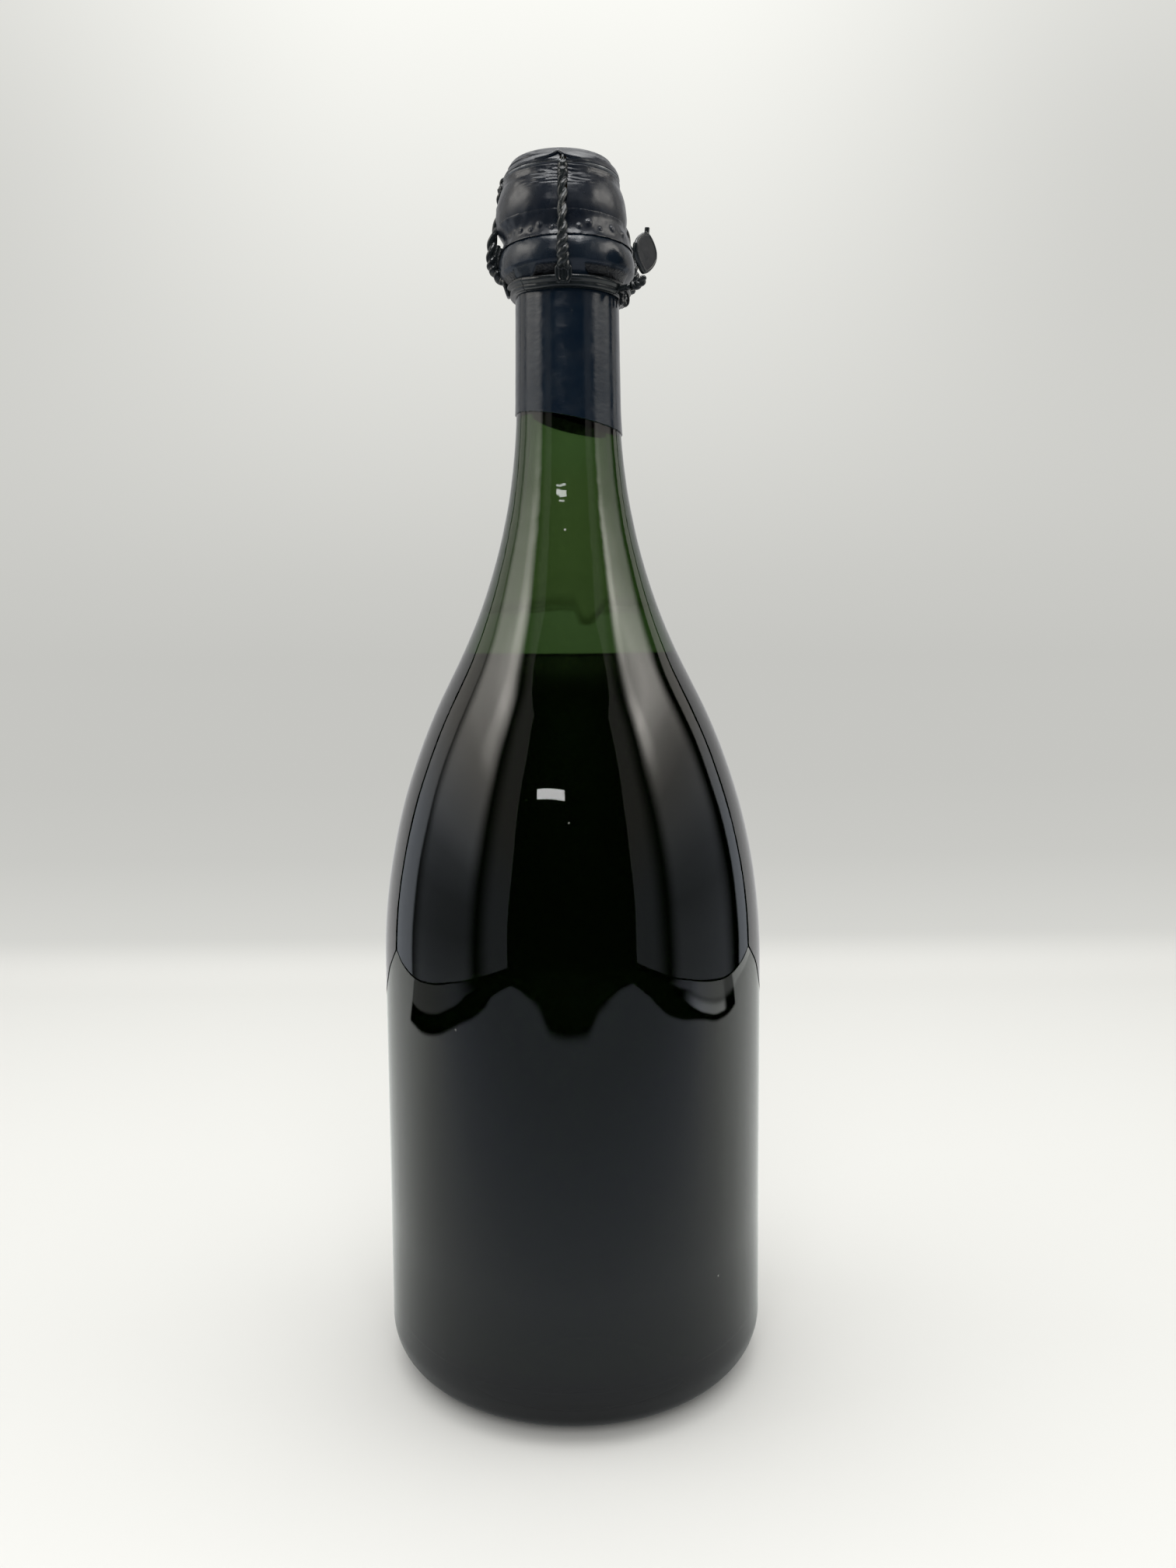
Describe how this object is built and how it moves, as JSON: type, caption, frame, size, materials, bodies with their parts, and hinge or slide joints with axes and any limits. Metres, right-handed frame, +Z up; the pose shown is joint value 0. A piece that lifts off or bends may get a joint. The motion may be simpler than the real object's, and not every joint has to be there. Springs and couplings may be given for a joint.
{
  "type": "champagne bottle",
  "caption": "Full champagne bottle of squat shape in dark green glass, with a mushroom cork, metal cap and twisted wire hood, its head and neck dipped in black wax.",
  "frame": {"origin": "centre of the foot ring, on the surface that the bottle stands on", "axes": "+Z up along the bottle's axis, -Y towards the picture's camera, +X to its right"},
  "size_m": [0.095, 0.095, 0.2971],
  "materials": {
    "green_glass": "thick dark green glass, glossy, with seeds and dust",
    "wine": "still liquid, pale straw seen through green glass",
    "black_wax": "glossy blue-black sealing wax, wrinkled over the head",
    "cork_grain": "pressed cork granules, matt",
    "natural_cork": "natural cork with pores, matt",
    "cap_metal": "pressed tinplate, plain, under wax",
    "waxed_wire": "twisted steel wire under a thin coat of black wax"
  },
  "bodies": {
    "bottle": {"bottle_glass": "green_glass", "wine": "wine", "neck_wax": "black_wax"},
    "cork_and_cap": {"cork_body": "cork_grain", "cork_disc_upper": "natural_cork", "cork_disc_lower": "natural_cork", "cap_plate": "cap_metal", "hood_top_ring": "waxed_wire", "head_wax": "black_wax"},
    "leg_front": {"hood_leg_front": "waxed_wire", "belt_front": "waxed_wire"},
    "leg_right": {"hood_leg_right": "waxed_wire", "belt_right": "waxed_wire", "wax_drips": "black_wax"},
    "leg_back": {"hood_leg_back": "waxed_wire", "belt_back": "waxed_wire"},
    "leg_left": {"hood_leg_left": "waxed_wire", "belt_left": "waxed_wire"},
    "fold_stem": {"closing_stem": "waxed_wire"},
    "twist_loop": {"closing_loop": "waxed_wire", "loop_film": "black_wax"}
  },
  "joints": [
    {"name": "cork_pull", "type": "slide", "parent": "bottle", "child": "cork_and_cap", "axis": [0, 0, 1], "range_m": [0, 0.024]},
    {"name": "spread_front", "type": "hinge", "parent": "cork_and_cap", "child": "leg_front", "pos_m": [-0.0007, -0.01339, 0.2933], "axis": [-0.9986, 0.0523, 0], "range_deg": [0, 48.2]},
    {"name": "spread_right", "type": "hinge", "parent": "cork_and_cap", "child": "leg_right", "pos_m": [0.01139, 0.0046, 0.2933], "axis": [0.3746, -0.9272, 0], "range_deg": [0, 48.2]},
    {"name": "spread_back", "type": "hinge", "parent": "cork_and_cap", "child": "leg_back", "pos_m": [0, 0.01335, 0.2933], "axis": [1, 0, 0], "range_deg": [0, 48.2]},
    {"name": "spread_left", "type": "hinge", "parent": "cork_and_cap", "child": "leg_left", "pos_m": [-0.0146, 0.00026, 0.2933], "axis": [0.0175, 0.9998, 0], "range_deg": [0, 48.2]},
    {"name": "loop_fold", "type": "hinge", "parent": "leg_right", "child": "fold_stem", "pos_m": [0.01443, -0.00937, 0.2662], "axis": [0.5446, 0.8387, 0], "range_deg": [0, 80]},
    {"name": "loop_twist", "type": "hinge", "parent": "fold_stem", "child": "twist_loop", "pos_m": [0.01803, -0.01171, 0.2684], "axis": [0.0789, -0.0513, 0.9956], "range_deg": [0, 1080]}
  ],
  "couplings": [
    {"joint": "spread_front", "follows": "cork_pull", "rad_per_m": 34.907},
    {"joint": "spread_right", "follows": "cork_pull", "rad_per_m": 34.907},
    {"joint": "spread_back", "follows": "cork_pull", "rad_per_m": 34.907},
    {"joint": "spread_left", "follows": "cork_pull", "rad_per_m": 34.907}
  ]
}
